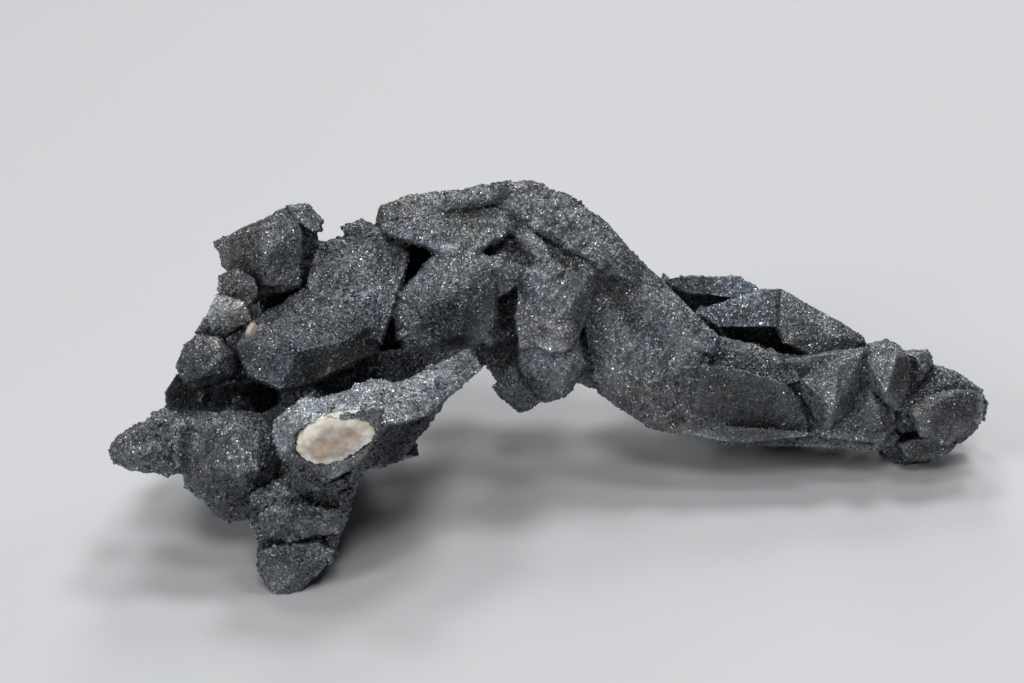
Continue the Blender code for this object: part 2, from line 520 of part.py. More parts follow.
def crystal_corners(crystal):
    """The corners of every ring from root to tip. Each edge strays a little from the regular section."""
    rng = random.Random(crystal.name)
    section = [(u + rng.uniform(-STRAY, STRAY), v + rng.uniform(-STRAY, STRAY)) for u, v in crystal.section]
    root, tip = Vector(crystal.root), Vector(crystal.tip)
    across, through = ring_axes((tip - root).normalized(), crystal.roll)
    for share, width, thick in crystal.profile:
        centre = root.lerp(tip, share)
        for u, v in section:
            corner = centre + across * (u * width * crystal.width / 2)
            yield corner + through * (v * thick * crystal.thick / 2)


def hull_object(name, corners):
    """An object that is the convex hull of the corners."""
    shape = bmesh.new()
    for corner in corners:
        shape.verts.new(corner * MM)
    bmesh.ops.convex_hull(shape, input=shape.verts)
    loose = [vert for vert in shape.verts if not vert.link_faces]
    bmesh.ops.delete(shape, geom=loose, context="VERTS")
    bmesh.ops.dissolve_limit(shape, angle_limit=FLAT, verts=shape.verts, edges=shape.edges)
    bmesh.ops.recalc_face_normals(shape, faces=shape.faces)
    mesh = bpy.data.meshes.new(name)
    shape.to_mesh(mesh)
    shape.free()
    obj = bpy.data.objects.new(name, mesh)
    bpy.context.scene.collection.objects.link(obj)
    return obj


def boolean(target, tools, operation):
    """Joins the tools to the target, or cuts them from it, and removes them."""
    group = bpy.data.collections.new("tools")
    for tool in tools:
        group.objects.link(tool)
    modifier = target.modifiers.new(operation, "BOOLEAN")
    modifier.operation = operation
    modifier.operand_type = "COLLECTION"
    modifier.collection = group
    modifier.solver = "EXACT"
    graph = bpy.context.evaluated_depsgraph_get()
    target.data = bpy.data.meshes.new_from_object(target.evaluated_get(graph))
    target.modifiers.clear()
    for tool in tools:
        bpy.data.objects.remove(tool)
    bpy.data.collections.remove(group)


def join_slabs_and_crystals():
    solids = [hull_object(slab.name, slab_corners(slab)) for slab in SLABS]
    solids += [hull_object(crystal.name, crystal_corners(crystal)) for crystal in CRYSTALS]
    cluster = solids[0]
    cluster.name = "hematite_cluster"
    boolean(cluster, solids[1:], "UNION")
    outer_skin(cluster)
    return cluster


def sharp_edges(obj):
    """(start, end, outward direction) of every edge where two faces meet at a clear angle, in millimetres."""
    shape = bmesh.new()
    shape.from_mesh(obj.data)
    shape.normal_update()
    found = []
    for edge in shape.edges:
        if len(edge.link_faces) == 2 and edge.calc_face_angle() > LUMP_EDGE_ANGLE:
            outward = (edge.link_faces[0].normal + edge.link_faces[1].normal).normalized()
            found.append((edge.verts[0].co / MM, edge.verts[1].co / MM, outward))
    shape.free()
    return found


def lump_on(edge, number, rng):
    """One druse lump at a random place on the edge, leaning a little from it."""
    start, end, outward = edge
    lean = Vector(rng.uniform(-LUMP_TILT, LUMP_TILT) for _ in range(3))
    outward = (outward + lean).normalized()
    place = start.lerp(end, rng.random())
    width = rng.uniform(*LUMP_WIDTHS)
    root = place - outward * LUMP_SINK * width
    tip = place + outward * LUMP_RISE * width
    return Crystal(
        f"lump_{number}", root, tip, width, width * rng.uniform(0.6, 1.0), rng.uniform(0, 180), HEX, LUMP
    )


def grow_lumps(cluster):
    """Seeds small crystals along the cluster's edges and joins them to it."""
    rng = random.Random(LUMP_SEED)
    edges = sharp_edges(cluster)
    chosen = rng.choices(edges, [(end - start).length for start, end, _ in edges], k=LUMP_COUNT)
    lumps = [lump_on(edge, number, rng) for number, edge in enumerate(chosen)]
    high = [lump for lump in lumps if lump.root.z > LUMP_FLOOR]
    grown = [
        lump for lump in high if all((lump.tip - middle).length > radius for middle, radius in BARE_PLACES)
    ]
    boolean(cluster, [hull_object(lump.name, crystal_corners(lump)) for lump in grown], "UNION")
    outer_skin(cluster)


def core_corners(rings, margin):
    """The corners of the egg-shaped inlay, or of its pocket where there is a margin."""
    face = next(slab for slab in SLABS if slab.name == CORE_FACE)
    outward = Vector((face.lean[0], -1.0, face.lean[1])).normalized()
    x, z = CORE_MIDDLE
    middle = Vector((x, face_y(face, x, z), z))
    right = (Vector((1, 0, 0)) - outward * outward.x).normalized()
    up = right.cross(-outward)
    for height, spread in rings:
        for corner in range(CORE_CORNERS):
            angle = math.tau * corner / CORE_CORNERS
            u = (CORE_RADII[0] * spread + margin) * math.cos(angle)
            v = (CORE_RADII[1] * spread * (1 - CORE_NARROWING * math.cos(angle)) + margin) * math.sin(angle)
            across = u * math.cos(CORE_TURN) - v * math.sin(CORE_TURN)
            upward = u * math.sin(CORE_TURN) + v * math.cos(CORE_TURN)
            yield middle + right * across + up * upward + outward * (height - margin)


def grain_corners(margin):
    """The corners of the small grain, larger all round by the margin."""
    corners = list(crystal_corners(CALCITE_GRAIN))
    middle = sum(corners, Vector()) / len(corners)
    for corner in corners:
        away = corner - middle
        yield corner + away.normalized() * margin


def set_calcite(cluster):
    """Cuts a pocket in the cluster for each piece of calcite, and leaves the piece in it."""
    pockets = [
        hull_object("core_pocket", core_corners(POCKET_RINGS, POCKET_GAP)),
        hull_object("grain_pocket", grain_corners(1.5 * POCKET_GAP)),
    ]
    boolean(cluster, pockets, "DIFFERENCE")
    return [
        hull_object("calcite_core", core_corners(CORE_RINGS, 0.0)),
        hull_object("calcite_grain", grain_corners(0.0)),
    ]


def wear_feet(cluster):
    """Cuts off what lies under the floor, so that each foot stands on a small flat."""
    reach = 200
    corners = [Vector((x, y, z)) for x in (-reach, reach) for y in (-reach, reach) for z in (-reach, 0)]
    boolean(cluster, [hull_object("under_floor", corners)], "DIFFERENCE")


def centre_on_origin(cluster, others):
    """Moves everything so that the cluster's box stands with its middle over the origin."""
    points = [vert.co for vert in cluster.data.vertices]
    low = Vector(min(point[axis] for point in points) for axis in range(3))
    high = Vector(max(point[axis] for point in points) for axis in range(3))
    shift = Vector((-(low.x + high.x) / 2, -(low.y + high.y) / 2, -low.z))
    for obj in (cluster, *others):
        for vert in obj.data.vertices:
            vert.co += shift
    return shift


def paint(obj):
    colour, roughness, metallic = MATERIALS[obj.name]
    material = bpy.data.materials.new(obj.name)
    material.use_nodes = True
    shader = material.node_tree.nodes["Principled BSDF"]
    shader.inputs["Base Color"].default_value = colour
    shader.inputs["Roughness"].default_value = roughness
    shader.inputs["Metallic"].default_value = metallic
    obj.data.materials.clear()
    obj.data.materials.append(material)


def build():
    clear_scene()
    cluster = join_slabs_and_crystals()
    grow_lumps(cluster)
    calcite = set_calcite(cluster)
    wear_feet(cluster)
    shift = centre_on_origin(cluster, calcite)
    for obj in (cluster, *calcite):
        paint(obj)
    return shift


build()
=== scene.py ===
"""Looks of the hematite specimen: a druse-covered crystal cluster with a pale calcite core."""

import math
from collections import namedtuple

import bpy
import numpy as np
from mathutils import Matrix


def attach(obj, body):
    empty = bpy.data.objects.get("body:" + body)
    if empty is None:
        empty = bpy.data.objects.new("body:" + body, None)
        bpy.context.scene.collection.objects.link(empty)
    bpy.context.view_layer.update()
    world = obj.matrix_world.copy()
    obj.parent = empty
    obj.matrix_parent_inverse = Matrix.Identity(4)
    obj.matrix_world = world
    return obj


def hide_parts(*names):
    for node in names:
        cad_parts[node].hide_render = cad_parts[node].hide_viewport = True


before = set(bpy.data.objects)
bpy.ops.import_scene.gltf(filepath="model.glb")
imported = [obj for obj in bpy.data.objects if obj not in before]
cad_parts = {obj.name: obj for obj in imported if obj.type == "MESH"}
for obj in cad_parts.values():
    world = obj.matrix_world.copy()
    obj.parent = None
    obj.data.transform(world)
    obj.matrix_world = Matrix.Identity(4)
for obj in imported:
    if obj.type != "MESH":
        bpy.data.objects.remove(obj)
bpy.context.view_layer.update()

MM = 0.001

# Each random pattern has a seed of its own. Where it has several layers, they count on from it.
SEED = 41
DRUSE_SEED = SEED + 7
FACET_SEED = SEED + 20
FACET_SEED_STEP = 20
PIT_SEED = SEED + 70
PIT_CHOICE_SEED = SEED + 80
PATCH_SEED = SEED + 100
PATCH_TILT_SEED = SEED + 110
PATCH_TURN_SEED = SEED + 120
CORE_ROUGH_SEED = SEED + 200
CORE_RAGGED_SEED = SEED + 203
CORE_MOTTLE_SEED = SEED + 205
CORE_FACET_SEED = SEED + 210
TONE_SEED = SEED + 300
HUE_SEED = SEED + 310
FACE_SEED = SEED + 320

# The repeatable random numbers come from an integer hash of 32 bits.
HASH_STRIDES = (73856093, 19349663, 83492791)
HASH_SEED_STRIDE = 40503
HASH_ROUNDS = ((15, 739982445), (12, 695872825))  # shift, factor
HASH_LAST_SHIFT = 15
HASH_MASK = 0xFFFFFFFF

# The stone's skin: how finely the solid is remeshed, and the relief laid on it, from coarse to fine.
ROCK_GRID = {
    "mode": "SHARP",
    "octree_depth": 8,
    "scale": 0.85,
    "sharpness": 1.0,
    "use_remove_disconnected": False,
}
SWELLS = ((6.0 * MM, 0.14 * MM), (2.4 * MM, 0.08 * MM))  # wave length, height
FACET_LAYERS = ((3.6 * MM, 0.14 * MM, 0.55), (1.5 * MM, 0.11 * MM, 0.6))  # width, height, share of tilt
PIT_SIZE = 2.4 * MM
PIT_SHARE = 0.10
PIT_DEPTH = 0.6 * MM
PIT_STEEPNESS = 1.6  # the higher, the narrower a pit is within its cell
GRAIN_JITTER = 0.04 * MM

# Tone of the skin. The first two are wave lengths and amounts: for tone and grain size, and for the hue.
PATCHES = ((7.0 * MM, 0.20), (2.6 * MM, 0.28), (1.0 * MM, 0.25))
WARMTH = ((6.0 * MM, 0.04), (1.8 * MM, 0.05))
EDGE_SPREAD = 3  # rounds of smoothing that widen the band along an edge or a groove
EDGE_FULL = 95  # percentile of the skin's bulges that counts as a full edge
EDGE_PALER = 0.45
# painted shade: how far the skin is darkened in its grooves
GROOVE_PAINTED_SHADE = 0.40
FACE_CONTRAST = 0.42  # how far the tone changes from one crystal face to the next
FACE_TURN = 0.6  # how far a face's unit normal moves before the tone differs
FACE_DRIFT = 14 * MM  # and how far apart two faces turned the same way differ too
# painted shade on faces turned to the right:
RIGHT_PAINTED_SHADE = 0.42  # how far faces turned to the right are darker

# Places where the crystals' edges are worn or overgrown.
WORN_ROUNDS = 9
WORN_STEP = 0.6  # how far a vertex moves towards its neighbours in a round
WORN_PLACES = (  # middle and radius, in mm
    ((-8, 4, 45), (24, 16, 9)),  # crest
    ((8, 0, 34), (12, 12, 9)),  # root of the arm
    ((14, 0, 20), (9, 9, 10)),  # arm
    ((-53, -26, 20), (16, 14, 12)),  # jaw and finger
    ((-36, -31, 28), (9, 7, 5)),  # blade round the core
    ((-4, -2, 18), (8, 8, 8)),  # tooth and pillar
)

# The druse: tiny crystals of trigonal habit, sown over the skin and turned in patches.
DRUSE_PIECES = (  # name, habit, count, smallest and largest radius
    ("druse_fine_a", "tip", 49000, 0.10 * MM, 0.24 * MM),
    ("druse_fine_b", "tip", 49000, 0.10 * MM, 0.24 * MM),
    ("druse_fine_c", "tip", 49000, 0.12 * MM, 0.30 * MM),
    ("druse_coarse", "tablet", 24500, 0.12 * MM, 0.36 * MM),
)
HALF_HEIGHT = 0.55  # how far both habits reach above their middle, in radii
TIP_BASE = -0.5
PATCH_SIZE = 5.0 * MM
PATCH_TILT = 0.30
GRAIN_TILT = 0.45
GRAIN_TURN = 0.6
GRAIN_SINK = 0.42  # how deep a grain sits in the skin, as a share of its height
GRAIN_HEIGHTS = (0.6, 1.3)  # shortest and tallest, as shares of the radius
GRAIN_WIDTHS = (0.75, 1.1)
GRAIN_CLEARANCE = 0.7  # least height over the floor, as a share of the largest radius
GRAIN_TONE_SPREAD = 0.33  # standard deviation of the logarithm of a grain's tone
GRAIN_TONE_LIMITS = (0.3, 2.8)

# Places where the skin differs, in mm. Their relief, grain and tint multiply the usual relief, grain size and
# colour. Where a zone has a facing, only skin that faces that way belongs to it.
# The tints of some zones, marked below, are painted shade or painted highlights; the rest are the skin's own
# colour.
Zone = namedtuple("Zone", "name middle radius relief grain tint facing", defaults=(None,))
UPWARD = (0, -0.3, 1)
FRONTWARD = (0, -1, 0)
FACING_STEEPNESS = 3  # how sharply a zone ends where the skin turns away
ZONES = (
    Zone("brown skirt", (-49, -11, 41), 5, 1.0, 1.0, (1.22, 1.14, 1.10)),
    Zone("pale skirt", (-51, -13, 37), 5, 1.0, 0.9, (2.30, 2.25, 2.18)),
    Zone("dull horn", (-44, -9, 42), 9, 1.7, 1.1, (0.85, 0.85, 0.86)),
    Zone("dull cheek", (-54, -16, 31), 7, 1.0, 1.0, (0.82, 0.82, 0.83)),
    Zone("bright upper slab", (-29, -6, 42), 10, 1.6, 1.1, (1.18, 1.18, 1.19)),
    Zone("rust on the crest", (-16, 5, 47), 4, 1.0, 1.0, (1.05, 1.00, 0.92)),
    Zone("bright crest", (-8, 5, 46), 18, 2.3, 1.15, (1.32, 1.32, 1.31)),
    Zone("bright pillar", (-2, -4, 30), 11, 1.2, 1.1, (1.38, 1.38, 1.40)),
    Zone("smooth slope", (17, 4, 29), 9, 0.5, 0.7, (1.05, 1.09, 1.14)),
    Zone("bright arm", (15, 0, 23), 12, 1.8, 1.1, (1.38, 1.38, 1.39)),
    Zone("dull lower arm", (14, -2, 16), 8, 1.5, 1.0, (0.72, 0.71, 0.70)),
    Zone("bluish shell plate", (27, 17, 24), 8, 0.3, 0.6, (1.32, 1.37, 1.43)),
    Zone("shell front", (38, 14, 22), 10, 0.4, 0.7, (0.95, 0.95, 0.95)),
    Zone("pale edge under the arm", (22, -2, 10.8), (14, 5, 1.8), 0.8, 0.8, (1.7, 1.7, 1.66)),
    # painted shade: the arm's face turned to the front is darkened
    Zone("painted shade on the arm face", (28, -2, 17), 13, 0.4, 0.7, (0.52, 0.53, 0.55), FRONTWARD),
    Zone("rusty stain", (30, -2, 13), 3.5, 1.0, 1.0, (1.22, 0.95, 0.92)),
    Zone("fang", (41, 0, 18), 7, 0.3, 0.65, (1.10, 1.10, 1.10)),
    Zone("bright prism", (51, 0, 20), 7, 0.3, 0.65, (1.35, 1.35, 1.36)),
    Zone("end plate", (61, 0, 13), 6, 0.4, 0.7, (0.78, 0.76, 0.76)),
    Zone("pale rim of the far end", (66.8, 4, 12), (2.4, 5, 6), 1.0, 0.8, (3.2, 3.1, 2.9)),
    Zone("yellowish edge", (54, 1, 14), 1.6, 1.0, 1.0, (1.6, 1.45, 1.15)),
    Zone("bright centre", (-25, -8, 33), 6, 1.0, 1.0, (1.10, 1.10, 1.10)),
    # painted shade: the centre's smooth face is darkened; its smoother skin is its own
    Zone("smooth centre face with painted shade", (-18, -8, 33), 6, 0.4, 0.6, (0.34, 0.36, 0.39)),
    # painted shade: the gem's underside is darkened; its smoother skin is its own
    Zone("smooth gem underside with painted shade", (-44, -18, 31), 8, 0.3, 0.6, (0.60, 0.61, 0.63)),
    # painted shade: the gem's side is darkened
    Zone("painted shade on the gem side", (-30, -10, 33.5), 6, 0.4, 0.7, (0.52, 0.53, 0.55)),
    # painted shade: the blade's face is darkened
    Zone("painted shade on the blade face", (-39, -33, 22), 5, 1.2, 1.1, (0.42, 0.42, 0.43)),
    # painted shade: the flank is darkened
    Zone("painted shade on the flank", (-24, -23, 22), 7, 1.0, 0.9, (0.33, 0.34, 0.36)),
    Zone("knobbly leg", (-39, -31, 10), 14, 2.0, 1.4, (1.05, 1.05, 1.05)),
    Zone("knobbly jaw", (-50, -27, 20), 13, 2.4, 1.35, (1.12, 1.12, 1.12)),
    Zone("knobbly finger", (-63, -26, 22), 10, 2.2, 1.3, (1.16, 1.16, 1.16)),
    Zone("knobbly tooth", (-7, 0, 17), 7, 1.5, 1.2, (0.85, 0.85, 0.85)),
    # painted highlight: the blade is lightened
    Zone("painted highlight on the blade", (-39, -31, 29), 10, 1.5, 1.2, (2.3, 2.32, 2.34)),
    # painted highlight: the far blade's upward faces are lightened
    Zone("painted highlight on the far blade's top", (-24, -24, 31), 10, 1.2, 1.0, (1.90, 1.93, 1.97), UPWARD),
    Zone("knobbly far foot", (56, 5, 5), 8, 1.4, 1.25, (0.9, 0.9, 0.9)),
)

# The calcite core: how finely it is remeshed, its broken face, its paler rim, and the rusty marks on it. Its
# places, radii and depths are in mm, and so are the heights of its relief.
CORE_GRID = {"mode": "VOXEL", "voxel_size": 0.25 * MM}
CORE_PROUD = 0.22  # how far its broken face stands out
CORE_FACE_DEPTH = 2.5
CORE_DRAWN_IN = 0.75  # how much narrower it is behind the face, within the stone
CORE_MIDDLE = (-33.7, -35.0, 27.6)
CORE_RADII = (6.0, 3.3)
CORE_TURN = math.radians(25)
CORE_ROUGHNESS = ((1.5 * MM, 0.22), (0.6 * MM, 0.14))  # wave length, height
CORE_FACETS = (0.9 * MM, 0.16, 0.6)  # width, height, share of tilt
CORE_MOTTLE_SIZES = (1.2 * MM, 0.5 * MM)
CORE_MOTTLE = 0.20
RIM_RAGGED = (1.4 * MM, 0.12)  # wave length, amount
RIM_START = 0.62  # as a share of the way from the middle to the rim
RIM_BLEND = 0.25
RIM_TINT = (1.65, 1.74, 1.80)
RUST = (1.08, 0.86, 0.70)
RUST_MARKS = (  # middle and radius
    ((-31.2, -35.5, 29.0), (0.9, 3, 0.5)),
    ((-32.6, -35.5, 29.4), (0.5, 3, 0.4)),
    ((-35.5, -35.5, 26.5), (1.6, 3, 0.9)),
)

# Hematite: most grains are dull, and a few flash. Its facets are finer than the druse.
DULL = 0.42  # roughness of the dullest grains
BRIGHT = 0.12  # and of the brightest
FLASH_RARITY = 4.0  # the higher, the fewer grains flash
METALLIC = 0.6
STEEL_DARK = (0.088, 0.095, 0.104)
STEEL_PALE = (0.200, 0.211, 0.225)
CLOUD_SIZE = 5 * MM
CLOUD_DETAIL = 6
CLOUD_ROUGHNESS = 0.65
FACET_SIZE = 0.20 * MM
FACET_LEAN = 0.9  # how far a facet's normal may lean
FLECKS = (0.90, 3.40)  # darkest and palest of the facets, as a share of the usual tone
FLECK_RARITY = 16.0  # the higher, the fewer facets are pale

# Calcite: a mottled cream.
CREAM_DARK = (0.40, 0.325, 0.25)
CREAM_PALE = (0.69, 0.64, 0.565)
CREAM_SIZE = 2.2 * MM
CREAM_DETAIL = 5
CREAM_CLOUD_ROUGHNESS = 0.5
CREAM_ROUGHNESS = 0.6
CREAM_BUMP = 0.5
CREAM_BUMP_HEIGHT = 0.3 * MM

RAMP_ENDS = (0.3, 0.7)  # where a noise reaches the darker and the paler colour

# Floor, just below the feet. Its reach each way from the middle is in metres.
FLOOR_REACH = 3.0
FLOOR_DROP = 0.02 * MM
FLOOR_COLOUR = (0.74, 0.75, 0.77)
FLOOR_ROUGHNESS = 0.9

# Studio lights, each a round softbox aimed at the specimen: name, place and size in metres, power in watts.
LIGHTS = (
    ("high_back_right", (0.24, 0.24, 0.94), 0.25, 2.0),
    ("high_front_right", (0.24, -0.24, 0.94), 0.25, 1.3),
    ("high_back_left", (-0.24, 0.24, 0.94), 0.25, 1.2),
    ("front", (0.01, -0.64, 0.77), 0.25, 2.0),
    ("back", (0.01, 0.64, 0.77), 0.30, 1.1),
    ("low_back", (0.01, 0.87, 0.50), 0.30, 1.2),
    ("low_back_right", (0.61, 0.61, 0.50), 0.25, 0.8),
    ("low_front_left", (-0.61, -0.61, 0.50), 0.25, 2.0),
    ("front_left", (-0.45, -0.45, 0.77), 0.25, 0.5),
)
LIGHT_AIM = (0, 0, 20 * MM)
WORLD_COLOUR = (0.80, 0.84, 0.90)
WORLD_STRENGTH = 0.01

# Camera: 85 mm lens on a 36 mm sensor, 25 degrees above the table.
CAMERA_TARGET = (-8.75 * MM, 11.67 * MM, 21.6 * MM)
CAMERA_DISTANCE = 385 * MM
CAMERA_ELEVATION = math.radians(25)
CAMERA_LENS = 85
CAMERA_SENSOR = 36
CAMERA_NEAR = 10 * MM


# ---------------------------------------------------------------- repeatable noise

def hashed(cells, seed):
    """A repeatable random number from 0 to 1 for each whole-number cell, an array of x, y, z rows."""
    mixed = (cells @ np.array(HASH_STRIDES) + seed * HASH_SEED_STRIDE) & HASH_MASK
    for shift, factor in HASH_ROUNDS:
        mixed = ((mixed ^ (mixed >> shift)) * factor) & HASH_MASK
    return (mixed ^ (mixed >> HASH_LAST_SHIFT)) / (HASH_MASK + 1)


def hashed_vectors(cells, seed):
    """A repeatable random vector for each cell, each part of it from -1 to 1."""
    return np.stack([2 * hashed(cells, seed + k) - 1 for k in range(3)], axis=1)


def swell(points, size, seed):
    """Smooth noise from -1 to 1 with waves of about this size."""
    place = points / size
    corner = np.floor(place).astype(np.int64)
    part = place - corner
    ease = part * part * (3 - 2 * part)
    total = np.zeros(len(points))
    for step in np.ndindex(2, 2, 2):
        share = np.prod(np.where(step, ease, 1 - ease), axis=1)
        total += share * hashed(corner + np.array(step), seed)
    return 2 * total - 1


def layered_swell(points, layers, seed):
    """The sum of several swells, given as pairs of size and amount."""
    return sum(amount * swell(points, size, seed + k) for k, (size, amount) in enumerate(layers))


def nearest_cells(points, size, seed):
    """For each point, the cell whose random spot is nearest, and the way from that spot, in cells."""
    place = points / size
    home = np.floor(place).astype(np.int64)
    best = np.full(len(points), np.inf)
    cells = home.copy()
    offsets = np.zeros_like(points)
    for step in np.ndindex(3, 3, 3):
        cell = home + np.array(step) - 1
        spot = cell + np.stack([hashed(cell, seed + k) for k in range(3)], axis=1)
        offset = place - spot
        distance = (offset * offset).sum(axis=1)
        closer = distance < best
        best[closer] = distance[closer]
        cells[closer] = cell[closer]
        offsets[closer] = offset[closer]
    return cells, offsets


def nearness(points, middle, radius):
    """1 within about half the radius of a place in mm, falling smoothly to 0 at the radius."""
    away = np.linalg.norm((points / MM - middle) / radius, axis=1)
    return np.clip(1.5 - 1.5 * away * away, 0, 1)


def zone_blend(points, normals, quality):
    """One quality of the zones at each point: 1 far from every zone, and the zone's own in its middle."""
    values = np.array([getattr(zone, quality) for zone in ZONES], float).reshape(len(ZONES), -1)
    total = np.ones((len(points), values.shape[1]))
    for zone, value in zip(ZONES, values):
        share = nearness(points, zone.middle, zone.radius)
        if zone.facing:
            share *= np.clip(FACING_STEEPNESS * normals @ np.array(zone.facing) - 1, 0, 1)
        total *= 1 + share[:, None] * (value - 1)
    return total


def patchiness(points):
    """A factor near 1 that wanders over the skin, for its tone and for the size of its grains."""
    return 1 + layered_swell(points, PATCHES, TONE_SEED)[:, None]


def hue(points):
    """A colour factor near 1 that drifts between brownish and bluish."""
    return 1 + layered_swell(points, WARMTH, HUE_SEED)[:, None] * np.array([1, 0, -1])


def face_tone_and_painted_shade(points, normals):
    """A factor near 1 that is even over a crystal face and changes with the way that the face is turned;
    faces turned to the right also get painted shade.
    """
    wander = swell(normals / FACE_TURN + points / FACE_DRIFT, 1, FACE_SEED)
    return (1 + FACE_CONTRAST * wander - RIGHT_PAINTED_SHADE * np.maximum(normals[:, 0], 0))[:, None]


def facet_relief(points, size, seed, tilt):
    """Height from about -1 to 1 of small tilted planes, one to a cell, like the faces of packed crystals."""
    cells, offsets = nearest_cells(points, size, seed)
    level = 2 * hashed(cells, seed + 11) - 1
    slope = hashed_vectors(cells, seed + 12)
    return (1 - tilt) * level + tilt * 2 * (slope * offsets).sum(axis=1)


# ---------------------------------------------------------------- mesh helpers

def coordinates(mesh):
    values = np.empty(len(mesh.vertices) * 3, np.float32)
    mesh.vertices.foreach_get("co", values)
    return values.reshape(-1, 3).astype(np.float64)


def vertex_normals(mesh):
    values = np.empty(len(mesh.vertices) * 3, np.float32)
    mesh.vertex_normals.foreach_get("vector", values)
    return values.reshape(-1, 3).astype(np.float64)


def triangles(mesh):
    mesh.calc_loop_triangles()
    values = np.empty(len(mesh.loop_triangles) * 3, np.int32)
    mesh.loop_triangles.foreach_get("vertices", values)
    return values.reshape(-1, 3)


def set_coordinates(mesh, points):
    mesh.vertices.foreach_set("co", points.astype(np.float32).ravel())
    mesh.update()


def mesh_object(name, points, faces):
    """An object from arrays of vertices and triangles."""
    mesh = bpy.data.meshes.new(name)
    mesh.vertices.add(len(points))
    mesh.loops.add(len(faces) * 3)
    mesh.polygons.add(len(faces))
    mesh.loops.foreach_set("vertex_index", faces.astype(np.int32).ravel())
    mesh.polygons.foreach_set("loop_start", np.arange(0, len(faces) * 3, 3, dtype=np.int32))
    set_coordinates(mesh, points)
    mesh.validate()
    piece = bpy.data.objects.new(name, mesh)
    bpy.context.scene.collection.objects.link(piece)
    return piece


def remeshed_copy(name, node, grid):
    """A copy of a CAD node's mesh, rebuilt with small even faces."""
    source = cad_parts[node]
    piece = bpy.data.objects.new(name, source.data.copy())
    bpy.context.scene.collection.objects.link(piece)
    modifier = piece.modifiers.new("even_grid", "REMESH")
    for setting, value in grid.items():
        setattr(modifier, setting, value)
    evaluated = piece.evaluated_get(bpy.context.evaluated_depsgraph_get())
    mesh = bpy.data.meshes.new_from_object(evaluated)
    piece.modifiers.clear()
    piece.data = mesh
    mesh.name = name
    return piece


def paint_tint(mesh, tint):
    """Stores a colour factor for each vertex."""
    colours = mesh.attributes.new("tint", "FLOAT_COLOR", "POINT")
    rgba = np.concatenate([tint, np.ones((len(tint), 1))], axis=1)
    colours.data.foreach_set("color", rgba.astype(np.float32).ravel())


def paint_lustre(mesh, lustre, domain):
    """Stores how much each vertex or face flashes."""
    flashes = mesh.attributes.new("lustre", "FLOAT", domain)
    flashes.data.foreach_set("value", lustre.astype(np.float32))


# ---------------------------------------------------------------- the stone's skin

def relief(points, normals):
    """How far the skin stands out from the solid at each point."""
    height = layered_swell(points, SWELLS, SEED)
    for index, (size, amount, tilt) in enumerate(FACET_LAYERS):
        height += amount * facet_relief(points, size, FACET_SEED + FACET_SEED_STEP * index, tilt)
    cells, offsets = nearest_cells(points, PIT_SIZE, PIT_SEED)
    pitted = hashed(cells, PIT_CHOICE_SEED) < PIT_SHARE
    hollow = np.clip(1 - PIT_STEEPNESS * np.linalg.norm(offsets, axis=1), 0, 1)
    height -= PIT_DEPTH * pitted * hollow
    return height * zone_blend(points, normals, "relief")[:, 0]


def neighbour_mean(mesh):
    """A function that gives each vertex the mean of its neighbours' values."""
    count = len(mesh.vertices)
    ends = np.empty(len(mesh.edges) * 2, np.int32)
    mesh.edges.foreach_get("vertices", ends)
    first = np.concatenate([ends[0::2], ends[1::2]])
    second = np.concatenate([ends[1::2], ends[0::2]])
    neighbours = np.bincount(first, minlength=count)[:, None]

    def around(values):
        total = [np.bincount(first, column[second], count) for column in values.T]
        return np.stack(total, axis=1) / neighbours

    return around


def round_worn_places(mesh, around):
    """Takes the sharpness off the crystals' edges where the stone is worn or overgrown."""
    points = coordinates(mesh)
    share = np.max([nearness(points, *place) for place in WORN_PLACES], axis=0)[:, None]
    for _ in range(WORN_ROUNDS):
        points += WORN_STEP * share * (around(points) - points)
    set_coordinates(mesh, points)


def edge_band(mesh, around):
    """For each vertex, from 1 along an edge through 0 on a flat face to -1 in a groove."""
    points = coordinates(mesh)
    bulge = ((points - around(points)) * vertex_normals(mesh)).sum(axis=1, keepdims=True)
    for _ in range(EDGE_SPREAD):
        bulge = (bulge + around(bulge)) / 2
    return np.clip(bulge / np.percentile(np.abs(bulge), EDGE_FULL), -1, 1)


def keep_off_floor(points):
    """Lifts what lies under the floor up to it."""
    points[:, 2] = np.maximum(points[:, 2], 0)
    return points


def build_rock():
    """The skin that stands for the cluster, and the colour factor at each of its vertices, which also holds
    painted shade and painted highlights.
    """
    rock = remeshed_copy("hematite_rock", "hematite_cluster", ROCK_GRID)
    mesh = rock.data
    around = neighbour_mean(mesh)
    round_worn_places(mesh, around)
    points = coordinates(mesh)
    normals = vertex_normals(mesh)
    band = edge_band(mesh, around)
    # Edges are made paler, and grooves darker with painted shade.
    paler_edges_and_groove_shade = 1 + EDGE_PALER * np.maximum(band, 0) + GROOVE_PAINTED_SHADE * np.minimum(band, 0)
    tint = paler_edges_and_groove_shade * patchiness(points) * hue(points) * face_tone_and_painted_shade(points, normals)
    # Some zones add painted shade and painted highlights here.
    tint *= zone_blend(points, normals, "tint")
    rng = np.random.default_rng(SEED)
    points = points + normals * relief(points, normals)[:, None]
    points += rng.uniform(-1, 1, points.shape) * GRAIN_JITTER
    set_coordinates(mesh, keep_off_floor(points))
    mesh.shade_flat()
    paint_tint(mesh, tint)
    paint_lustre(mesh, rng.random(len(mesh.polygons)) ** FLASH_RARITY, "FACE")
    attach(rock, "root")
    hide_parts("hematite_cluster")
    return rock, tint


# ---------------------------------------------------------------- the druse

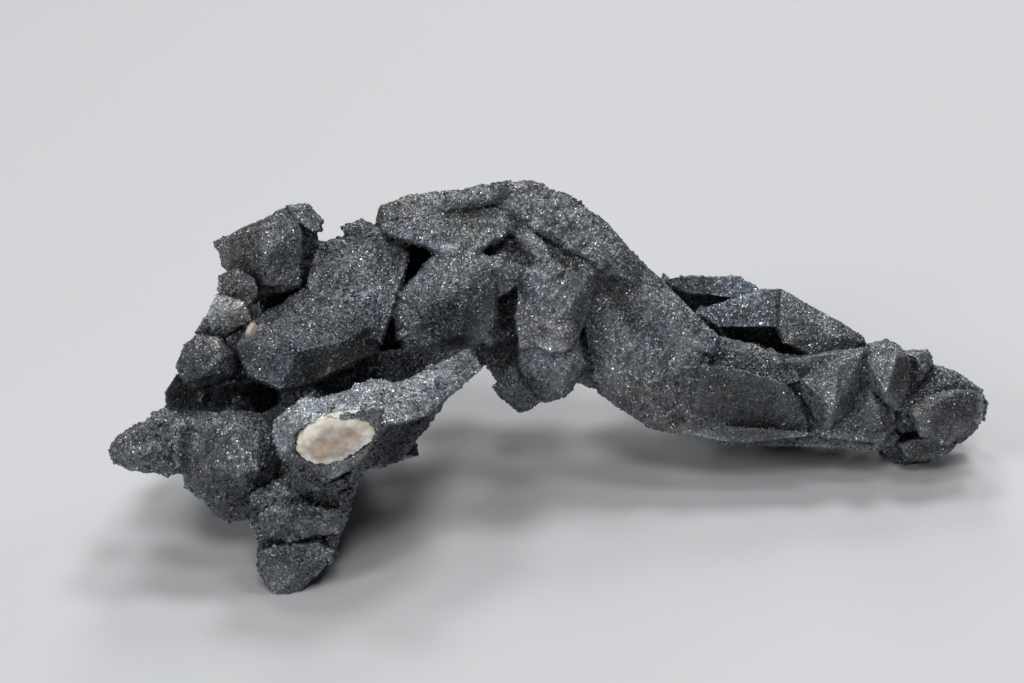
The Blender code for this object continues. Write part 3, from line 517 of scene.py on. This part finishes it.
def tablet():
    """A flat trigonal antiprism of radius 1, a habit of small hematite crystals."""
    angles = [math.radians(60 * k) for k in range(6)]
    heights = [HALF_HEIGHT, -HALF_HEIGHT] * 3
    points = [(math.cos(angle), math.sin(angle), height) for angle, height in zip(angles, heights)]
    faces = [(0, 2, 4), (5, 3, 1)]
    faces += [(k, (k + 1) % 6, (k + 2) % 6) for k in range(6)]
    return np.array(points), np.array(faces)


def tip():
    """The three-faced tip of a rhombohedral crystal, of radius 1, closed underneath."""
    angles = [math.radians(120 * k) for k in range(3)]
    points = [(math.cos(angle), math.sin(angle), TIP_BASE) for angle in angles] + [(0, 0, HALF_HEIGHT)]
    return np.array(points), np.array([(0, 1, 2), (0, 1, 3), (1, 2, 3), (2, 0, 3)])


def outward(points, faces):
    """Faces of a convex shape about the origin, each turned to face out."""
    corner = points[faces]
    normal = np.cross(corner[:, 1] - corner[:, 0], corner[:, 2] - corner[:, 0])
    inward = (normal * corner.mean(axis=1)).sum(axis=1) < 0
    turned = faces.copy()
    turned[inward] = faces[inward][:, ::-1]
    return turned


def unit(vectors):
    """The vectors, each made one long."""
    return vectors / np.linalg.norm(vectors, axis=1, keepdims=True)


def sow(mesh, count, rng):
    """Random points on the mesh, evenly by area, with the face normals and a mesh vertex there."""
    points = coordinates(mesh)
    corners = triangles(mesh)
    corner = points[corners]
    normal = np.cross(corner[:, 1] - corner[:, 0], corner[:, 2] - corner[:, 0])
    area = np.linalg.norm(normal, axis=1)
    picked = rng.choice(len(area), count, p=area / area.sum())
    shares = rng.random((2, count, 1))
    beyond = shares.sum(axis=0) > 1
    shares = np.where(beyond, 1 - shares, shares)
    first, second, third = corner[picked].transpose(1, 0, 2)
    spots = first + shares[0] * (second - first) + shares[1] * (third - first)
    return spots, normal[picked] / area[picked][:, None], corners[picked, 0]


def grain_axes(spots, normals, rng):
    """Three unit axes for each grain: it stands on the skin, tilted with its patch and a little by itself."""
    cells, _ = nearest_cells(spots, PATCH_SIZE, PATCH_SEED)
    patch = hashed_vectors(cells, PATCH_TILT_SEED)
    up = unit(normals + PATCH_TILT * patch + GRAIN_TILT * rng.uniform(-1, 1, spots.shape))
    along = hashed_vectors(cells, PATCH_TURN_SEED) + GRAIN_TURN * rng.uniform(-1, 1, spots.shape)
    side = unit(np.cross(up, along))
    return side, np.cross(up, side), up


def stretched_copies(shape, centres, axes, sizes):
    """The corners of a unit shape's copies, one at each centre, stretched along its own three axes."""
    points = centres[:, None]
    for index, (axis, size) in enumerate(zip(axes, sizes)):
        points = points + shape[None, :, index, None] * (axis * size[:, None])[:, None]
    return points


def build_grains(rock, skin_tint_and_painted_light, name, shape, count, radii, rng):
    """One mesh of druse, sown over the rock and coloured as the skin under each grain."""
    shape_points, shape_faces = shape
    smallest, largest = radii
    spots, normals, roots = sow(rock.data, count, rng)
    above = spots[:, 2] > largest * GRAIN_CLEARANCE
    spots, normals, roots = spots[above], normals[above], roots[above]
    axes = grain_axes(spots, normals, rng)
    size = smallest + (largest - smallest) * rng.random(len(spots)) ** 2
    size *= (patchiness(spots) * zone_blend(spots, normals, "grain"))[:, 0]
    height = size * rng.uniform(*GRAIN_HEIGHTS, len(spots))
    width = size * rng.uniform(*GRAIN_WIDTHS, len(spots))
    centres = spots + axes[2] * (height * HALF_HEIGHT * (1 - 2 * GRAIN_SINK))[:, None]
    points = stretched_copies(shape_points, centres, axes, (size, width, height))
    corners = len(shape_points)
    faces = outward(shape_points, shape_faces)[None] + corners * np.arange(len(spots))[:, None, None]
    piece = mesh_object(name, keep_off_floor(points.reshape(-1, 3)), faces.reshape(-1, 3))
    tone = np.exp(GRAIN_TONE_SPREAD * rng.standard_normal((len(spots), 1)))
    # The grains take the skin's tint, with its painted shade and painted highlights.
    tint = skin_tint_and_painted_light[roots] * np.clip(tone, *GRAIN_TONE_LIMITS)
    lustre = rng.random(len(spots)) ** FLASH_RARITY
    paint_tint(piece.data, np.repeat(tint, corners, axis=0))
    paint_lustre(piece.data, np.repeat(lustre, corners), "POINT")
    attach(piece, "root")
    return piece


def build_druse(rock, skin_tint_and_painted_light):
    """All the meshes of druse."""
    habits = {"tip": tip(), "tablet": tablet()}
    pieces = []
    for index, (name, habit, count, *radii) in enumerate(DRUSE_PIECES):
        rng = np.random.default_rng(DRUSE_SEED + index)
        pieces.append(build_grains(rock, skin_tint_and_painted_light, name, habits[habit], count, radii, rng))
    return pieces


# ---------------------------------------------------------------- the calcite

def core_tint(points):
    """The core's colour factor: mottled, paler towards its rim, and rusty at the marks."""
    across = points / MM - CORE_MIDDLE
    along = across[:, 0] * math.cos(CORE_TURN) + across[:, 2] * math.sin(CORE_TURN)
    over = across[:, 2] * math.cos(CORE_TURN) - across[:, 0] * math.sin(CORE_TURN)
    ragged = layered_swell(points, (RIM_RAGGED,), CORE_RAGGED_SEED)
    reach = np.hypot(along / CORE_RADII[0], over / CORE_RADII[1]) + ragged
    rim = np.clip((reach - RIM_START) / RIM_BLEND, 0, 1)
    mottle = sum(swell(points, size, CORE_MOTTLE_SEED + k) for k, size in enumerate(CORE_MOTTLE_SIZES))
    tint = 1 + CORE_MOTTLE * mottle[:, None] + rim[:, None] * (np.array(RIM_TINT) - 1)
    for middle, radius in RUST_MARKS:
        tint *= 1 + nearness(points, middle, radius)[:, None] * (np.array(RUST) - 1)
    return tint


def build_calcite():
    """The core, rough and broken at its face and drawn in behind it."""
    core = remeshed_copy("calcite_filling", "calcite_core", CORE_GRID)
    mesh = core.data
    points = coordinates(mesh)
    tint = core_tint(points)
    size, amount, tilt = CORE_FACETS
    rough = layered_swell(points, CORE_ROUGHNESS, CORE_ROUGH_SEED)
    rough += amount * facet_relief(points, size, CORE_FACET_SEED, tilt)
    depth = (points[:, 1] - points[:, 1].min()) / MM
    proud = CORE_PROUD - CORE_DRAWN_IN * np.clip(depth - CORE_FACE_DEPTH, 0, 1)
    points += vertex_normals(mesh) * ((proud + rough) * MM)[:, None]
    set_coordinates(mesh, points)
    mesh.shade_smooth()
    paint_tint(mesh, tint)
    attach(core, "root")
    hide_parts("calcite_core")
    return core


# ---------------------------------------------------------------- materials

def new_material(name):
    """A material, its node tree and its shader."""
    material = bpy.data.materials.new(name)
    material.use_nodes = True
    tree = material.node_tree
    return material, tree, tree.nodes["Principled BSDF"]


def node(tree, kind, **settings):
    """A new shader node with these settings."""
    made = tree.nodes.new(kind)
    for key, value in settings.items():
        setattr(made, key, value)
    return made


def clouded_colour(tree, place, size, detail, roughness, dark, pale):
    """A noise, and the colour that it gives between the two ends."""
    cloud = node(tree, "ShaderNodeTexNoise")
    cloud.inputs["Scale"].default_value = 1 / size
    cloud.inputs["Detail"].default_value = detail
    cloud.inputs["Roughness"].default_value = roughness
    tree.links.new(place.outputs["Object"], cloud.inputs["Vector"])
    ramp = node(tree, "ShaderNodeValToRGB")
    for stop, position, colour in zip(ramp.color_ramp.elements, RAMP_ENDS, (dark, pale)):
        stop.position = position
        stop.color = (*colour, 1)
    tree.links.new(cloud.outputs["Fac"], ramp.inputs["Fac"])
    return cloud, ramp.outputs["Color"]


def tinted(tree, colour):
    """The colour times the factor that is painted on the mesh."""
    zone = node(tree, "ShaderNodeAttribute", attribute_name="tint")
    stain = node(tree, "ShaderNodeVectorMath", operation="MULTIPLY")
    tree.links.new(colour, stain.inputs[0])
    tree.links.new(zone.outputs["Color"], stain.inputs[1])
    return stain.outputs["Vector"]


def ranged(tree, value, low, high):
    """A value from 0 to 1, spread from low to high."""
    spread = node(tree, "ShaderNodeMapRange")
    spread.inputs["To Min"].default_value = low
    spread.inputs["To Max"].default_value = high
    tree.links.new(value, spread.inputs["Value"])
    return spread.outputs["Result"]


def facet_normal(tree, facets):
    """The surface's normal, leaning a different way on each facet."""
    link = tree.links.new
    lean = node(tree, "ShaderNodeVectorMath", operation="MULTIPLY_ADD")
    lean.inputs[1].default_value = (FACET_LEAN,) * 3
    lean.inputs[2].default_value = (-FACET_LEAN / 2,) * 3
    link(facets.outputs["Color"], lean.inputs[0])
    surface = node(tree, "ShaderNodeNewGeometry")
    tilted = node(tree, "ShaderNodeVectorMath", operation="ADD")
    link(surface.outputs["Normal"], tilted.inputs[0])
    link(lean.outputs["Vector"], tilted.inputs[1])
    even = node(tree, "ShaderNodeVectorMath", operation="NORMALIZE")
    link(tilted.outputs["Vector"], even.inputs[0])
    return even.outputs["Vector"]


def hematite_material():
    """Steel-grey metal lustre, broken into facets finer than the druse itself."""
    material, tree, shader = new_material("hematite_metal")
    link = tree.links.new
    place = node(tree, "ShaderNodeTexCoord")
    facets = node(tree, "ShaderNodeTexVoronoi")
    facets.inputs["Scale"].default_value = 1 / FACET_SIZE
    link(place.outputs["Object"], facets.inputs["Vector"])
    _, colour = clouded_colour(
        tree, place, CLOUD_SIZE, CLOUD_DETAIL, CLOUD_ROUGHNESS, STEEL_DARK, STEEL_PALE
    )
    speck = node(tree, "ShaderNodeTexWhiteNoise")
    link(facets.outputs["Position"], speck.inputs["Vector"])
    rare = node(tree, "ShaderNodeMath", operation="POWER")
    rare.inputs[1].default_value = FLECK_RARITY
    link(speck.outputs["Value"], rare.inputs[0])
    flecked = node(tree, "ShaderNodeVectorMath", operation="SCALE")
    link(tinted(tree, colour), flecked.inputs[0])
    link(ranged(tree, rare.outputs["Value"], *FLECKS), flecked.inputs["Scale"])
    link(flecked.outputs["Vector"], shader.inputs["Base Color"])
    lustre = node(tree, "ShaderNodeAttribute", attribute_name="lustre")
    link(ranged(tree, lustre.outputs["Fac"], DULL, BRIGHT), shader.inputs["Roughness"])
    link(facet_normal(tree, facets), shader.inputs["Normal"])
    shader.inputs["Metallic"].default_value = METALLIC
    return material


def calcite_material(name, painted):
    """Cream stone, mottled, and tinted further where its mesh is painted."""
    material, tree, shader = new_material(name)
    link = tree.links.new
    place = node(tree, "ShaderNodeTexCoord")
    mottle, colour = clouded_colour(
        tree, place, CREAM_SIZE, CREAM_DETAIL, CREAM_CLOUD_ROUGHNESS, CREAM_DARK, CREAM_PALE
    )
    link(tinted(tree, colour) if painted else colour, shader.inputs["Base Color"])
    shader.inputs["Roughness"].default_value = CREAM_ROUGHNESS
    bump = node(tree, "ShaderNodeBump")
    bump.inputs["Strength"].default_value = CREAM_BUMP
    bump.inputs["Distance"].default_value = CREAM_BUMP_HEIGHT
    link(mottle.outputs["Fac"], bump.inputs["Height"])
    link(bump.outputs["Normal"], shader.inputs["Normal"])
    return material


def wear(piece, material):
    """Gives a piece this one material."""
    piece.data.materials.clear()
    piece.data.materials.append(material)


# ---------------------------------------------------------------- floor, light and camera

def build_floor():
    mesh = bpy.data.meshes.new("floor")
    corners = [(-1, -1), (1, -1), (1, 1), (-1, 1)]
    mesh.from_pydata([(FLOOR_REACH * x, FLOOR_REACH * y, 0) for x, y in corners], [], [(0, 1, 2, 3)])
    floor = bpy.data.objects.new("floor", mesh)
    floor.location.z = -FLOOR_DROP
    bpy.context.scene.collection.objects.link(floor)
    material, _, shader = new_material("floor_white")
    shader.inputs["Base Color"].default_value = (*FLOOR_COLOUR, 1)
    shader.inputs["Roughness"].default_value = FLOOR_ROUGHNESS
    wear(floor, material)


def look_angles(direction):
    """The turn that points an object's -Z along a direction, with its top up."""
    flat = math.hypot(direction[0], direction[1])
    return math.atan2(flat, -direction[2]), 0, math.atan2(-direction[0], direction[1])


def area_light(name, place, size, power):
    light = bpy.data.lights.new(name, "AREA")
    light.shape = "DISK"
    light.size = size
    light.energy = power
    lamp = bpy.data.objects.new(name, light)
    bpy.context.scene.collection.objects.link(lamp)
    lamp.location = place
    lamp.rotation_euler = look_angles(np.array(LIGHT_AIM) - np.array(place))


def build_lights():
    for name, place, size, power in LIGHTS:
        area_light(name, place, size, power)
    world = bpy.data.worlds.new("studio")
    world.use_nodes = True
    background = world.node_tree.nodes["Background"]
    background.inputs["Color"].default_value = (*WORLD_COLOUR, 1)
    background.inputs["Strength"].default_value = WORLD_STRENGTH
    bpy.context.scene.world = world
    bpy.context.scene.view_settings.view_transform = "Standard"


def build_camera():
    data = bpy.data.cameras.new("camera")
    data.lens = CAMERA_LENS
    data.sensor_width = CAMERA_SENSOR
    data.clip_start = CAMERA_NEAR
    camera = bpy.data.objects.new("camera", data)
    bpy.context.scene.collection.objects.link(camera)
    back = CAMERA_DISTANCE * math.cos(CAMERA_ELEVATION)
    rise = CAMERA_DISTANCE * math.sin(CAMERA_ELEVATION)
    x, y, z = CAMERA_TARGET
    camera.location = (x, y - back, z + rise)
    camera.rotation_euler = (math.radians(90) - CAMERA_ELEVATION, 0, 0)
    bpy.context.scene.camera = camera


def build():
    hematite = hematite_material()
    rock, skin_tint_and_painted_light = build_rock()
    wear(rock, hematite)
    for piece in build_druse(rock, skin_tint_and_painted_light):
        wear(piece, hematite)
    wear(build_calcite(), calcite_material("calcite_cream", painted=True))
    wear(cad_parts["calcite_grain"], calcite_material("calcite_cream_grain", painted=False))
    build_floor()
    build_lights()
    build_camera()


build()
